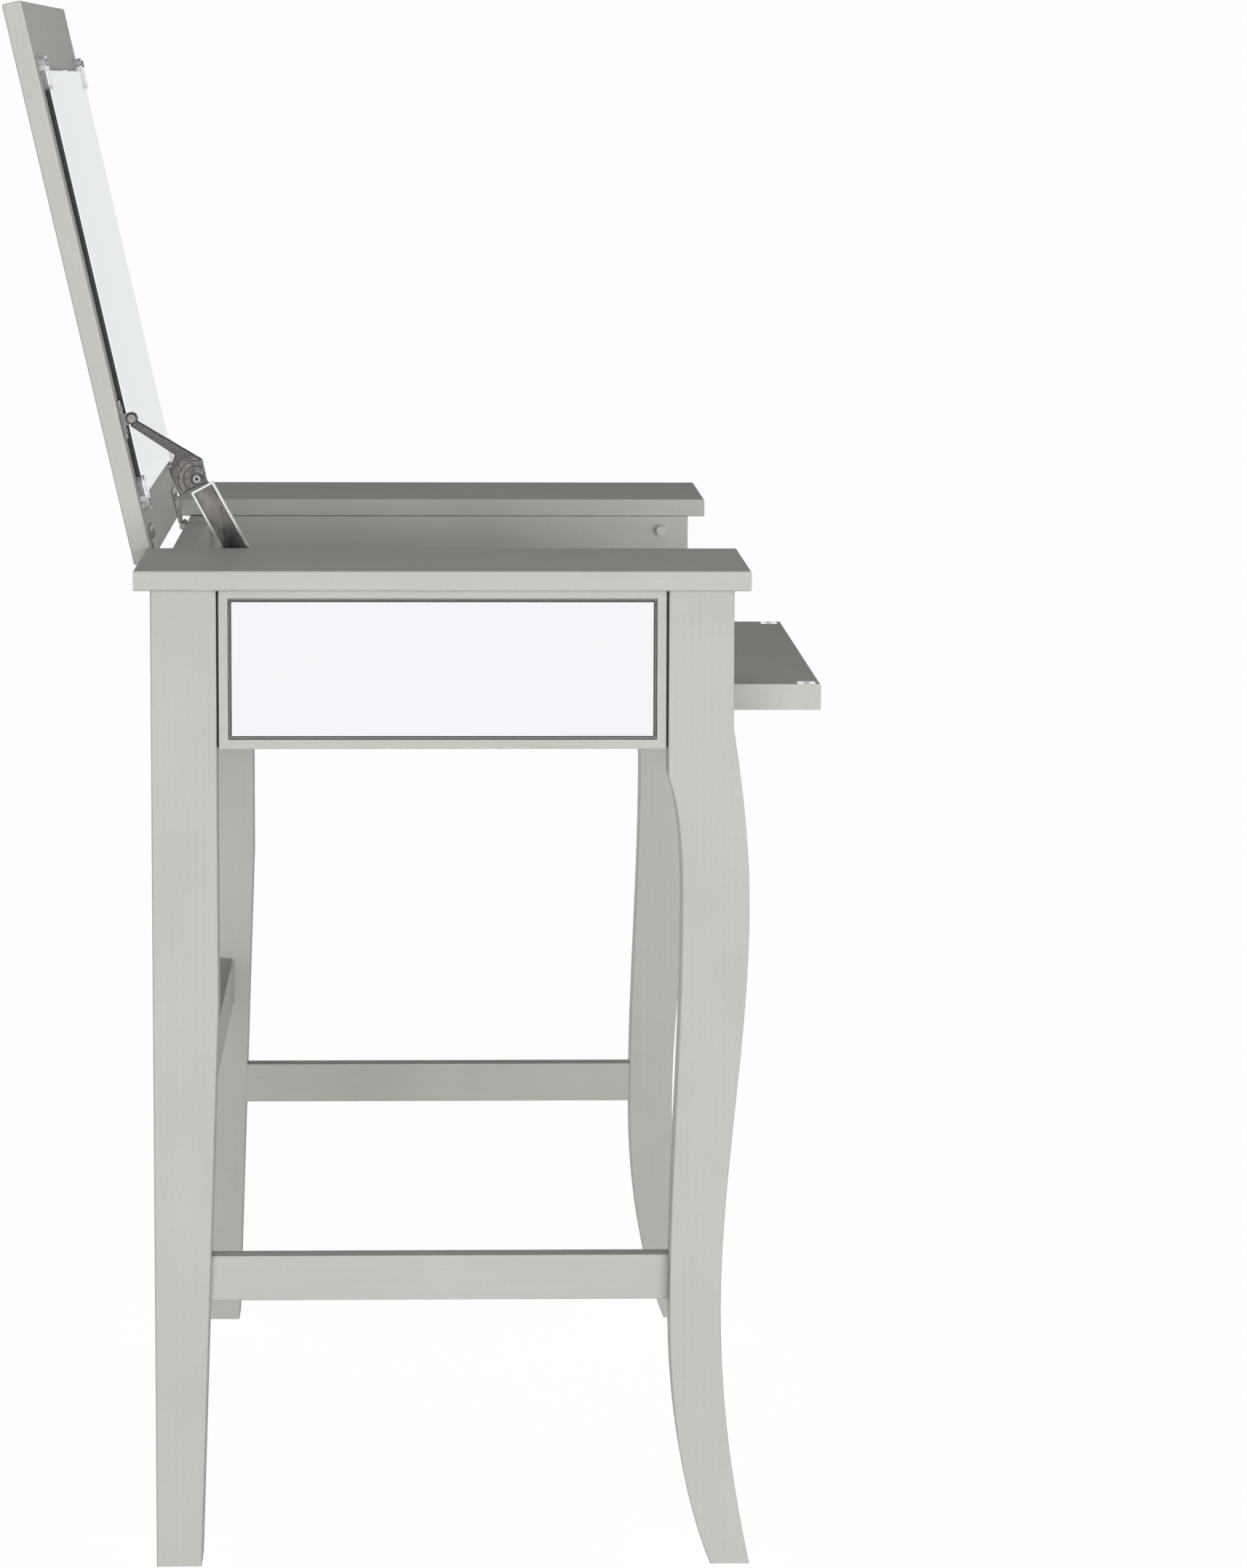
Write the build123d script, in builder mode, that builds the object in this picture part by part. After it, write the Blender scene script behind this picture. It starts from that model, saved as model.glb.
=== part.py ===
"""Vanity table with a mirrored flip-up lid and a drop front.

+Z is up and the user sits at the -Y side. The model stands as it does in use: the lid is open and
leans back on its stay, and the drop front is down, level with the floor of the well. The parts are
drawn about the centre of the tabletop, and saved about the middle of the whole, on the floor.
"""

import os
from math import cos, radians, sin

from build123d import *

os.makedirs("parts", exist_ok=True)

# ---- overall sizes (mm) ----
TABLE_WIDTH = 914.4
TABLE_DEPTH = 460.0
TABLE_HEIGHT = 762.0
TOP_THICKNESS = 15.0
TOP_EDGE_RADIUS = 1.5
LID_OPENING = 508.0
WHOLE_MIDDLE_Y = 20.3

# ---- legs ----
TOP_OVERHANG = 12.0
TOP_SIDE_OVERHANG = 12.8
LEG_WIDTH = 45.0
LEG_DEPTH = 49.0
LEG_EDGE_RADIUS = 1.5
HIP_HEIGHT = 643.0
REAR_HIP_HEIGHT = 606.0
KNEE_HEIGHT = 505.0
KNEE_SWELL = 12.7
KNEE_EXTRA_DEPTH = 1.7
ANKLE_HEIGHT = 200.0
ANKLE_SETBACK = 7.3
ANKLE_DEPTH = 39.0
TOE_SWELL = 15.6
TOE_DEPTH = 30.0
BACK_TAPER_START = 430.0
BACK_FOOT_DEPTH = 34.0

# ---- case ----
CASE_BOTTOM = 627.0
APRON_THICKNESS = 18.0
APRON_SETBACK = 3.0
REVEAL = 1.6
REVEAL_DEPTH = 8.0
PARTITION_THICKNESS = 15.0
PARTITION_SETBACK = 2.5
FRONT_PANEL_SETBACK = 2.0
WELL_FLOOR_THICKNESS = 6.0
FRAME_STRIP = 7.0
MIRROR_GAP = 2.0
MIRROR_THICKNESS = 4.0
MIRROR_SETBACK = 0.4
MIRROR_BEVEL = 0.8
CLEAT = 14.0
CLEAT_END_GAP = 9.0
TOP_SCREW_Y = 120.0
LID_SEAT_GAP = 0.4

# ---- stretchers ----
SIDE_STRETCHER_BOTTOM = 201.6
SIDE_STRETCHER_HEIGHT = 34.5
SIDE_STRETCHER_THICKNESS = 20.0
SIDE_STRETCHER_INSET = 2.0
REAR_STRETCHER_BOTTOM = 292.0
REAR_STRETCHER_HEIGHT = 41.5
REAR_STRETCHER_THICKNESS = 20.0
REAR_STRETCHER_BACK = 208.0
STRETCHER_EDGE_RADIUS = 1.0
STRETCHER_END_IN_LEG = 20.0

# ---- lid ----
LID_SIDE_GAP = 1.5
LID_REAR_EDGE = 213.3
LID_LEAN = 12.8
LID_MIRROR_WIDTH = 440.0
LID_MIRROR_THICKNESS = 5.0
LID_MIRROR_MARGIN_REAR = 49.25
LID_MIRROR_MARGIN_FRONT = 55.0
LID_MIRROR_BEVEL = 1.0
CLIP_LIP = 1.6
CLIP_REACH_X = 12.5
CLIP_REACH_U = 16.0
CLIP_BORDER_X = 9.0
CLIP_BORDER_U = 10.5
CLIP_CORNER_RADIUS = 4.0
CLIP_SCREW_FROM_MIRROR = 3.5

# ---- lid hinges ----
LID_AXIS_Y = 221.0
LID_AXIS_Z = 744.5
HINGE_SPACING = 390.0
HINGE_LENGTH = 50.0
HINGE_KNUCKLES = 5
KNUCKLE_RADIUS = 2.6
KNUCKLE_GAP = 0.3
HINGE_PIN_RADIUS = 1.3
PIN_CLEARANCE = 0.05
LEAF_THICKNESS = 1.4
LEAF_LENGTH = 29.0
LEAF_TO_BARREL = 0.9
LEAF_SCREW_PITCH = 16.0
FIXED_SCREW_DROP = 17.4
LID_LEAF_START = 3.5
LID_LEAF_END = 32.0
LID_SCREW_U = 25.0
KNUCKLE_WEB_DROP = 1.0
MORTISE_SIDE_GAP = 1.0
MORTISE_FLOOR_GAP = 0.4

# ---- lid stay, on the left side ----
STAY_PIVOT_ON_LID = (119.4, -6.7)
ELBOW_Y = 190.7
ELBOW_Z = 815.5
CHANNEL_ANGLE = 61.5
CHANNEL_LENGTH = 100.0
CHANNEL_WIDTH = 19.4
CHANNEL_WALL = 1.6
CHANNEL_INNER_X = 236.4
CHANNEL_OUTER_X = 244.4
CHANNEL_END_BEFORE_ELBOW = 7.6
CHANNEL_TAIL = 9.0
TONGUE_WIDTH = 12.0
ARM_INNER_X = 245.0
ARM_OUTER_X = 250.5
ARM_EYE_RADIUS = 4.8
ARM_CORNER_RADIUS = 2.4
ARM_EDGE_CHAMFER = 0.9
ARM_BODY_REACH = 24.0
ARM_OUTLINE_LID = ((-3.0, -1.0), (1.0, -5.8))
ARM_OUTLINE_ELBOW = ((16.9, 18.7), (21.2, 5.4), (13.5, -13.5), (7.2, -9.5), (-8.3, -2.5), (-4.4, 15.3))
STAY_PIN_RADIUS = 2.5
STAY_HEAD_RADIUS = 4.0
LID_PIN_HEAD_RADIUS = 3.2
ARM_RELIEF_RINGS = ((18.7, 15.4), (13.6, 11.0), (9.4, 5.4))
ARM_RELIEF_HEIGHT = 0.8
ARM_RELIEF_INSET = 1.8
ELBOW_PIN_RADIUS = 2.0
ELBOW_HEAD_RADIUS = 3.0
PIN_HEAD_GAP = 0.3
PIN_HEAD_HEIGHT = 1.4
ELBOW_HEAD_HEIGHT = 1.4
ELBOW_DIMPLE_RADIUS = 1.3
ELBOW_DIMPLE_DEPTH = 1.6
BRACKET_PLATE = 2.0
BRACKET_INNER_X = 224.0
BRACKET_HALF_LENGTH = 15.0
BRACKET_SCREW_X = 231.0
BRACKET_SCREW_SPREAD = 9.0
LUG_RADIUS = 4.6
LUG_THICKNESS = 3.5
LUG_TO_ARM = 0.5
LUG_INTO_PLATE = 1.0
WALL_PLATE_HALF_WIDTH = 12.0
WALL_PLATE_BELOW = 14.0
WALL_PLATE_ABOVE = 10.0
WALL_PLATE_CORNER_RADIUS = 4.0
WALL_BOSS_RADIUS = 5.0
WALL_BOSS_TO_ARM = 0.5

# ---- drop front ----
DROP_AXIS_Y = -202.0
DROP_AXIS_Z = 650.5
DROP_INNER_FACE = 4.5
DROP_OUTER_FACE = 15.8
DROP_LENGTH = 95.0
DROP_PIN_RADIUS = 2.5
DROP_PIN_DEPTH = 12.0
DROP_PIN_END_GAP = 0.5
FRONT_RAIL_TOP = 634.4
FRONT_RAIL_FRONT = -217.0
FRONT_RAIL_BACK = -185.0
STRIKE_WIDTH = 20.0
STRIKE_LENGTH = 14.0
STRIKE_THICKNESS = 1.6
STRIKE_FROM_EDGE = 4.0
STRIKE_FROM_SIDE = 1.0
STRIKE_SCREWS_X = (237.5, 247.5)
DROP_POCKET_FROM_AXIS = 2.0
PEG_RADIUS = 4.4
PEG_LENGTH = 14.0
PEG_CHAMFER = 0.8
PEG_Y = -191.8
PEG_Z = 735.2

# ---- screws ----
SCREW_SHANK_RADIUS = 1.4
SCREW_HEAD_RADIUS = 2.8
SCREW_HEAD_HEIGHT = 0.9
SCREW_DEPTH = 9.0
SCREW_SLOT_WIDTH = 0.6
SCREW_SLOT_DEPTH = 0.4

# ---- positions that follow from the sizes ----
TOP_HALF_WIDTH = TABLE_WIDTH / 2
TOP_HALF_DEPTH = TABLE_DEPTH / 2
TOP_UNDERSIDE = TABLE_HEIGHT - TOP_THICKNESS
OPENING_X = LID_OPENING / 2
LEG_OUTER_X = TOP_HALF_WIDTH - TOP_SIDE_OVERHANG
LEG_INNER_X = LEG_OUTER_X - LEG_WIDTH
LEG_FACE_Y = TOP_HALF_DEPTH - TOP_OVERHANG
LEG_REAR_Y = LEG_FACE_Y - LEG_DEPTH
PARTITION_OUTER_X = OPENING_X + PARTITION_THICKNESS
WELL_BACK_Y = LEG_FACE_Y - APRON_THICKNESS
WELL_FLOOR_TOP = CASE_BOTTOM + WELL_FLOOR_THICKNESS
POCKET_DEPTH = MIRROR_THICKNESS + MIRROR_SETBACK
LID_HALF_WIDTH = OPENING_X - LID_SIDE_GAP
LID_REAR = LID_AXIS_Y - LID_REAR_EDGE
LID_FRONT = LID_AXIS_Y + TOP_HALF_DEPTH
LID_UNDERSIDE = TOP_UNDERSIDE - LID_AXIS_Z
LID_MIRROR_BACK = LID_REAR + LID_MIRROR_MARGIN_REAR
LID_MIRROR_FRONT = LID_FRONT - LID_MIRROR_MARGIN_FRONT
LID_MIRROR_FACE = LID_UNDERSIDE - LID_MIRROR_THICKNESS
LID_MIRROR_X = LID_MIRROR_WIDTH / 2
STAY_LID_U, STAY_LID_W = STAY_PIVOT_ON_LID
STAY_LID_Y = LID_AXIS_Y + STAY_LID_U * sin(radians(LID_LEAN)) + STAY_LID_W * cos(radians(LID_LEAN))
STAY_LID_Z = LID_AXIS_Z + STAY_LID_U * cos(radians(LID_LEAN)) - STAY_LID_W * sin(radians(LID_LEAN))
STAY_WALL_Y = ELBOW_Y - CHANNEL_LENGTH * cos(radians(CHANNEL_ANGLE))
STAY_WALL_Z = ELBOW_Z - CHANNEL_LENGTH * sin(radians(CHANNEL_ANGLE))
DROP_TOP = DROP_AXIS_Z + DROP_INNER_FACE
DROP_BOTTOM = DROP_AXIS_Z - DROP_OUTER_FACE
DROP_END_Y = DROP_AXIS_Y - DROP_LENGTH

# The lid is drawn as if shut: on its plane, x is the table's X, and y runs from the hinge axis,
# with the lid's free edge on the negative side. The plane itself leans back.
LID_PLANE = Plane(
    origin=(0, LID_AXIS_Y, LID_AXIS_Z),
    x_dir=(1, 0, 0),
    z_dir=(0, cos(radians(LID_LEAN)), -sin(radians(LID_LEAN))),
)
# The lower arm of a stay: seen from the +X side, x runs up along the channel from the wall pivot.
CHANNEL_PLANE = Plane(
    origin=(0, STAY_WALL_Y, STAY_WALL_Z),
    x_dir=(0, cos(radians(CHANNEL_ANGLE)), sin(radians(CHANNEL_ANGLE))),
    z_dir=(1, 0, 0),
)
SIDES = (("left", -1), ("right", 1))
STAY_SIGN = -1


def block(plane, x_span, y_span, height_span, mode=Mode.ADD):
    """A rectangular block on a plane, added to or cut from the part in hand."""
    low, high = sorted(height_span)
    with BuildSketch(plane.offset(low)) as outline:
        with Locations((sum(x_span) / 2, sum(y_span) / 2)):
            Rectangle(abs(x_span[1] - x_span[0]), abs(y_span[1] - y_span[0]))
    extrude(outline.sketch, amount=high - low, mode=mode)


def rod(plane, centres, radius, height_span, mode=Mode.ADD):
    """A round rod at each centre on a plane, added to or cut from the part in hand."""
    low, high = sorted(height_span)
    with BuildSketch(plane.offset(low)) as outline:
        with Locations(*centres):
            Circle(radius)
    extrude(outline.sketch, amount=high - low, mode=mode)


def screws(plane, centres, seat, into):
    """Slotted screws: heads stand on the seat, and shanks run the other way by the depth given."""
    away = -1 if into > 0 else 1
    half = SCREW_SLOT_WIDTH / 2
    reach = SCREW_HEAD_RADIUS
    rod(plane, centres, SCREW_HEAD_RADIUS, (seat, seat + away * SCREW_HEAD_HEIGHT))
    rod(plane, centres, SCREW_SHANK_RADIUS, (seat, seat + into))
    slot_floor = seat + away * (SCREW_HEAD_HEIGHT - SCREW_SLOT_DEPTH)
    slot_top = seat + away * SCREW_HEAD_HEIGHT
    for x, y in centres:
        block(plane, (x - reach, x + reach), (y - half, y + half), (slot_floor, slot_top), Mode.SUBTRACT)


def screw_holes(plane, centres, start, depth):
    """The holes that the shanks of a set of screws fill."""
    rod(plane, centres, SCREW_SHANK_RADIUS, (start, start + depth), Mode.SUBTRACT)


def stay_side(span):
    """A span of distances from the table's middle plane, on the side that carries the stay."""
    return sorted((STAY_SIGN * span[0], STAY_SIGN * span[1]))


def save(piece, name):
    """Writes a part about the middle of the whole table."""
    placed = piece.part.moved(Location((0, -WHOLE_MIDDLE_Y, 0)))
    placed.label = name
    export_step(placed, f"parts/{name}.step")


def mirror_frame(plane, half_width, bottom, top, face):
    """A panel: a backing that meets its neighbours and a framed face with a pocket for a mirror."""
    backing = (face - APRON_THICKNESS, face - REVEAL_DEPTH)
    block(plane, (-half_width, half_width), (bottom, top), backing)
    reveal = half_width - REVEAL
    block(plane, (-reveal, reveal), (bottom, top), (face - REVEAL_DEPTH, face))
    pocket = reveal - FRAME_STRIP
    spans = (-pocket, pocket), (bottom + FRAME_STRIP, top - FRAME_STRIP)
    block(plane, *spans, (face - POCKET_DEPTH, face), Mode.SUBTRACT)


def mirror_pane(plane, half_width, bottom, top, face):
    """The mirror that lies in the pocket of a framed panel, with a bevelled edge."""
    border = FRAME_STRIP + MIRROR_GAP
    half = half_width - REVEAL - border
    spans = (-half, half), (bottom + border, top - border)
    block(plane, *spans, (face - POCKET_DEPTH, face - MIRROR_SETBACK))


def bevel_front(piece, direction, length):
    """Bevels the rim of the face that looks furthest along a direction."""
    front = piece.faces().sort_by(direction)[-1]
    chamfer(front.edges(), length=length)


def round_upright_edges(leg):
    """Rounds the four edges that run down a leg."""
    upright = leg.edges().filter_by(lambda edge: abs(edge.tangent_at(0.5).Z) > 0.9)
    fillet(upright, LEG_EDGE_RADIUS)


# ---- legs, aprons, stretchers and tops ----
for side, sign in SIDES:
    leg_start = min(sign * LEG_OUTER_X, sign * LEG_INNER_X)
    knee = -LEG_FACE_Y - KNEE_SWELL
    ankle = -LEG_FACE_Y + ANKLE_SETBACK
    toe = -LEG_FACE_Y - TOE_SWELL

    with BuildPart() as leg_front:
        with BuildSketch(Plane.YZ.offset(leg_start)):
            with BuildLine():
                Line((-LEG_REAR_Y, TOP_UNDERSIDE), (-LEG_FACE_Y, TOP_UNDERSIDE))
                Line((-LEG_FACE_Y, TOP_UNDERSIDE), (-LEG_FACE_Y, HIP_HEIGHT))
                Spline(
                    (-LEG_FACE_Y, HIP_HEIGHT),
                    (knee, KNEE_HEIGHT),
                    (ankle, ANKLE_HEIGHT),
                    (toe, 0),
                    tangents=((-0.16, -1), (0, -1), (0, -1), (-0.22, -1)),
                )
                Line((toe, 0), (toe + TOE_DEPTH, 0))
                Spline(
                    (toe + TOE_DEPTH, 0),
                    (ankle + ANKLE_DEPTH, ANKLE_HEIGHT),
                    (knee + LEG_DEPTH + KNEE_EXTRA_DEPTH, KNEE_HEIGHT),
                    (-LEG_REAR_Y, REAR_HIP_HEIGHT),
                    tangents=((0.4, 1), (0, 1), (0, 1), (0.35, 1)),
                )
                Line((-LEG_REAR_Y, REAR_HIP_HEIGHT), (-LEG_REAR_Y, TOP_UNDERSIDE))
            make_face()
        extrude(amount=LEG_WIDTH)
        round_upright_edges(leg_front)
    save(leg_front, f"leg_front_{side}")

    with BuildPart() as leg_back:
        with BuildSketch(Plane.YZ.offset(leg_start)):
            with BuildLine():
                Polyline(
                    (LEG_REAR_Y, TOP_UNDERSIDE),
                    (LEG_REAR_Y, BACK_TAPER_START),
                    (LEG_FACE_Y - BACK_FOOT_DEPTH, 0),
                    (LEG_FACE_Y, 0),
                    (LEG_FACE_Y, TOP_UNDERSIDE),
                    close=True,
                )
            make_face()
        extrude(amount=LEG_WIDTH)
        round_upright_edges(leg_back)
    save(leg_back, f"leg_back_{side}")

    # the side apron and its mirror face outward
    side_plane = Plane(origin=(0, 0, 0), x_dir=(0, sign, 0), z_dir=(sign, 0, 0))
    apron_face = LEG_OUTER_X - APRON_SETBACK
    with BuildPart() as side_apron:
        mirror_frame(side_plane, LEG_REAR_Y, CASE_BOTTOM, TOP_UNDERSIDE, apron_face)
    save(side_apron, f"side_apron_{side}")

    with BuildPart() as side_mirror:
        mirror_pane(side_plane, LEG_REAR_Y, CASE_BOTTOM, TOP_UNDERSIDE, apron_face)
        bevel_front(side_mirror, Axis.X if sign > 0 else -Axis.X, MIRROR_BEVEL)
    save(side_mirror, f"side_mirror_{side}")

    # the side stretcher is cut to the shape of the legs it runs between
    stretcher_inner = LEG_INNER_X + SIDE_STRETCHER_INSET
    stretcher_x = sorted((sign * stretcher_inner, sign * (stretcher_inner + SIDE_STRETCHER_THICKNESS)))
    stretcher_z = (SIDE_STRETCHER_BOTTOM, SIDE_STRETCHER_BOTTOM + SIDE_STRETCHER_HEIGHT)
    with BuildPart() as side_stretcher:
        stretcher_end = LEG_FACE_Y - STRETCHER_END_IN_LEG
        block(Plane.XY, stretcher_x, (-stretcher_end, stretcher_end), stretcher_z)
        fillet(side_stretcher.edges().filter_by(Axis.Y), STRETCHER_EDGE_RADIUS)
        add(leg_front.part, mode=Mode.SUBTRACT)
        add(leg_back.part, mode=Mode.SUBTRACT)
    save(side_stretcher, f"side_stretcher_{side}")

    # the partition is one wall of the well and carries the drop front, the catch and a stay
    partition_x = sorted((sign * OPENING_X, sign * PARTITION_OUTER_X))
    with BuildPart() as partition:
        partition_y = (-LEG_FACE_Y + PARTITION_SETBACK, WELL_BACK_Y)
        block(Plane.XY, partition_x, partition_y, (CASE_BOTTOM, TOP_UNDERSIDE))
    save(partition, f"partition_{side}")

    # the front panel of the side case, with its mirror
    panel_middle = sign * (PARTITION_OUTER_X + LEG_INNER_X) / 2
    panel_half = (LEG_INNER_X - PARTITION_OUTER_X) / 2
    front_plane = Plane(origin=(panel_middle, 0, 0), x_dir=(1, 0, 0), z_dir=(0, -1, 0))
    panel_face = LEG_FACE_Y - FRONT_PANEL_SETBACK
    with BuildPart() as front_panel:
        mirror_frame(front_plane, panel_half, CASE_BOTTOM, TOP_UNDERSIDE, panel_face)
    save(front_panel, f"front_panel_{side}")

    with BuildPart() as front_mirror:
        mirror_pane(front_plane, panel_half, CASE_BOTTOM, TOP_UNDERSIDE, panel_face)
        bevel_front(front_mirror, -Axis.Y, MIRROR_BEVEL)
    save(front_mirror, f"front_mirror_{side}")

    # cleats under the fixed top, and the screws that hold it
    cleat_y = (-LEG_REAR_Y + CLEAT_END_GAP, LEG_REAR_Y - CLEAT_END_GAP)
    cleat_bottom = TOP_UNDERSIDE - CLEAT
    cleat_z = (cleat_bottom, TOP_UNDERSIDE)
    inner_cleat_x = sorted((sign * PARTITION_OUTER_X, sign * (PARTITION_OUTER_X + CLEAT)))
    apron_inner = apron_face - APRON_THICKNESS
    outer_cleat_x = sorted((sign * (apron_inner - CLEAT), sign * apron_inner))
    screw_columns = (sign * (PARTITION_OUTER_X + CLEAT / 2), sign * (apron_inner - CLEAT / 2))
    top_screw_spots = [(x, y) for x in screw_columns for y in (-TOP_SCREW_Y, TOP_SCREW_Y)]
    top_screw_length = CLEAT + SCREW_DEPTH

    with BuildPart() as top_cleats:
        block(Plane.XY, inner_cleat_x, cleat_y, cleat_z)
        block(Plane.XY, outer_cleat_x, cleat_y, cleat_z)
        screw_holes(Plane.XY, top_screw_spots, cleat_bottom, CLEAT)
    save(top_cleats, f"top_cleats_{side}")

    with BuildPart() as top_screws:
        screws(Plane.XY, top_screw_spots, cleat_bottom, top_screw_length)
    save(top_screws, f"top_screws_{side}")

    with BuildPart() as side_top:
        side_top_x = sorted((sign * OPENING_X, sign * TOP_HALF_WIDTH))
        block(Plane.XY, side_top_x, (-TOP_HALF_DEPTH, TOP_HALF_DEPTH), (TOP_UNDERSIDE, TABLE_HEIGHT))
        fillet(side_top.faces().sort_by(Axis.Z)[-1].edges(), TOP_EDGE_RADIUS)
        fillet(side_top.faces().sort_by(Axis.Z)[0].edges(), TOP_EDGE_RADIUS)
        screw_holes(Plane.XY, top_screw_spots, TOP_UNDERSIDE, SCREW_DEPTH)
    save(side_top, f"side_top_{side}")

with BuildPart() as rear_stretcher:
    rear_stretcher_y = (REAR_STRETCHER_BACK - REAR_STRETCHER_THICKNESS, REAR_STRETCHER_BACK)
    rear_stretcher_z = (REAR_STRETCHER_BOTTOM, REAR_STRETCHER_BOTTOM + REAR_STRETCHER_HEIGHT)
    block(Plane.XY, (-LEG_INNER_X, LEG_INNER_X), rear_stretcher_y, rear_stretcher_z)
    fillet(rear_stretcher.edges().filter_by(Axis.X), STRETCHER_EDGE_RADIUS)
save(rear_stretcher, "rear_stretcher")

# ---- lid hinge layout ----
hinge_centres = (-HINGE_SPACING / 2, HINGE_SPACING / 2)
knuckle_pitch = HINGE_LENGTH / HINGE_KNUCKLES
leaf_screw_offsets = (-LEAF_SCREW_PITCH, 0.0, LEAF_SCREW_PITCH)
fixed_leaf_bottom = LID_AXIS_Z - LEAF_LENGTH
fixed_leaf_top = LID_AXIS_Z - KNUCKLE_RADIUS - LEAF_TO_BARREL
fixed_screw_z = LID_AXIS_Z - FIXED_SCREW_DROP
rear_plane = Plane(origin=(0, 0, 0), x_dir=(-1, 0, 0), z_dir=(0, 1, 0))
fixed_screw_spots = [(-x + dx, fixed_screw_z) for x in hinge_centres for dx in leaf_screw_offsets]
lid_screw_spots = [(x + dx, -LID_SCREW_U) for x in hinge_centres for dx in leaf_screw_offsets]
lid_leaf_face = LID_UNDERSIDE - LEAF_THICKNESS
leaf_back = LEG_FACE_Y + LEAF_THICKNESS
hinge_plane = Plane(origin=(0, LID_AXIS_Y, LID_AXIS_Z), x_dir=(0, 1, 0), z_dir=(1, 0, 0))


def knuckle_span(centre, index):
    """Where one knuckle of a hinge starts and ends along X."""
    start = centre - HINGE_LENGTH / 2 + index * knuckle_pitch
    return (start + KNUCKLE_GAP / 2, start + knuckle_pitch - KNUCKLE_GAP / 2)


with BuildPart() as rear_apron:
    block(Plane.XY, (-LEG_INNER_X, LEG_INNER_X), (WELL_BACK_Y, LEG_FACE_Y), (CASE_BOTTOM, TOP_UNDERSIDE))
    seat = (TOP_UNDERSIDE - LID_SEAT_GAP, TOP_UNDERSIDE)
    block(Plane.XY, (-OPENING_X, OPENING_X), (WELL_BACK_Y, LEG_FACE_Y), seat, Mode.SUBTRACT)
    for centre in hinge_centres:
        mortise_half = HINGE_LENGTH / 2 + MORTISE_SIDE_GAP
        mortise_x = (centre - mortise_half, centre + mortise_half)
        mortise_z = (LID_AXIS_Z + lid_leaf_face - MORTISE_FLOOR_GAP, TOP_UNDERSIDE)
        block(Plane.XY, mortise_x, (WELL_BACK_Y, LEG_FACE_Y), mortise_z, Mode.SUBTRACT)
    screw_holes(rear_plane, fixed_screw_spots, LEG_FACE_Y, -SCREW_DEPTH)
save(rear_apron, "rear_apron")

with BuildPart() as well_floor:
    block(Plane.XY, (-OPENING_X, OPENING_X), (FRONT_RAIL_BACK, WELL_BACK_Y), (CASE_BOTTOM, WELL_FLOOR_TOP))
save(well_floor, "well_floor")

with BuildPart() as front_rail:
    rail_y = (FRONT_RAIL_FRONT, FRONT_RAIL_BACK)
    block(Plane.XY, (-OPENING_X, OPENING_X), rail_y, (CASE_BOTTOM, FRONT_RAIL_TOP))
    fillet(front_rail.edges().filter_by(Axis.X).sort_by(Axis.Y)[:2], STRETCHER_EDGE_RADIUS)
save(front_rail, "front_rail")

with BuildPart() as lid_hinge_fixed_leaves:
    for centre in hinge_centres:
        leaf_x = (centre - HINGE_LENGTH / 2, centre + HINGE_LENGTH / 2)
        block(Plane.XY, leaf_x, (LEG_FACE_Y, leaf_back), (fixed_leaf_bottom, fixed_leaf_top))
        for index in range(0, HINGE_KNUCKLES, 2):
            span = knuckle_span(centre, index)
            block(Plane.XY, span, (LEG_FACE_Y, leaf_back), (fixed_leaf_top, LID_AXIS_Z))
            block(Plane.XY, span, (leaf_back, LID_AXIS_Y), (fixed_leaf_top, LID_AXIS_Z - KNUCKLE_WEB_DROP))
            rod(hinge_plane, [(0, 0)], KNUCKLE_RADIUS, span)
        rod(hinge_plane, [(0, 0)], HINGE_PIN_RADIUS, leaf_x)
    screw_holes(rear_plane, fixed_screw_spots, LEG_FACE_Y, LEAF_THICKNESS)
save(lid_hinge_fixed_leaves, "lid_hinge_fixed_leaves")

with BuildPart() as lid_hinge_fixed_screws:
    screws(rear_plane, fixed_screw_spots, leaf_back, -SCREW_DEPTH - LEAF_THICKNESS)
save(lid_hinge_fixed_screws, "lid_hinge_fixed_screws")

# ---- catch pegs and drop front pivots, fixed to the partitions ----
with BuildPart() as catch_pegs:
    for side, sign in SIDES:
        rod(Plane.YZ, [(PEG_Y, PEG_Z)], PEG_RADIUS, (sign * (OPENING_X - PEG_LENGTH), sign * OPENING_X))
    peg_ends = catch_pegs.faces().filter_by(Axis.X).sort_by(Axis.X)[1:3]
    chamfer(peg_ends.edges(), length=PEG_CHAMFER)
save(catch_pegs, "catch_pegs")

with BuildPart() as drop_front_pins:
    for side, sign in SIDES:
        pin_x = (sign * (OPENING_X - DROP_PIN_DEPTH), sign * OPENING_X)
        rod(Plane.YZ, [(DROP_AXIS_Y, DROP_AXIS_Z)], DROP_PIN_RADIUS, pin_x)
save(drop_front_pins, "drop_front_pins")

# ---- lid ----
clip_corners = [(sx, u, away) for sx in (-1, 1) for u, away in ((LID_MIRROR_BACK, -1), (LID_MIRROR_FRONT, 1))]
clip_screw_x = LID_MIRROR_X + CLIP_SCREW_FROM_MIRROR
clip_screw_spots = [(sx * clip_screw_x, -(u + away * CLIP_BORDER_U / 2)) for sx, u, away in clip_corners]
bracket_screw_rows = (STAY_LID_U - BRACKET_SCREW_SPREAD, STAY_LID_U + BRACKET_SCREW_SPREAD)
bracket_screw_spots = [(STAY_SIGN * BRACKET_SCREW_X, -u) for u in bracket_screw_rows]
clip_face = LID_MIRROR_FACE - CLIP_LIP
bracket_seat = LID_UNDERSIDE - BRACKET_PLATE

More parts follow.
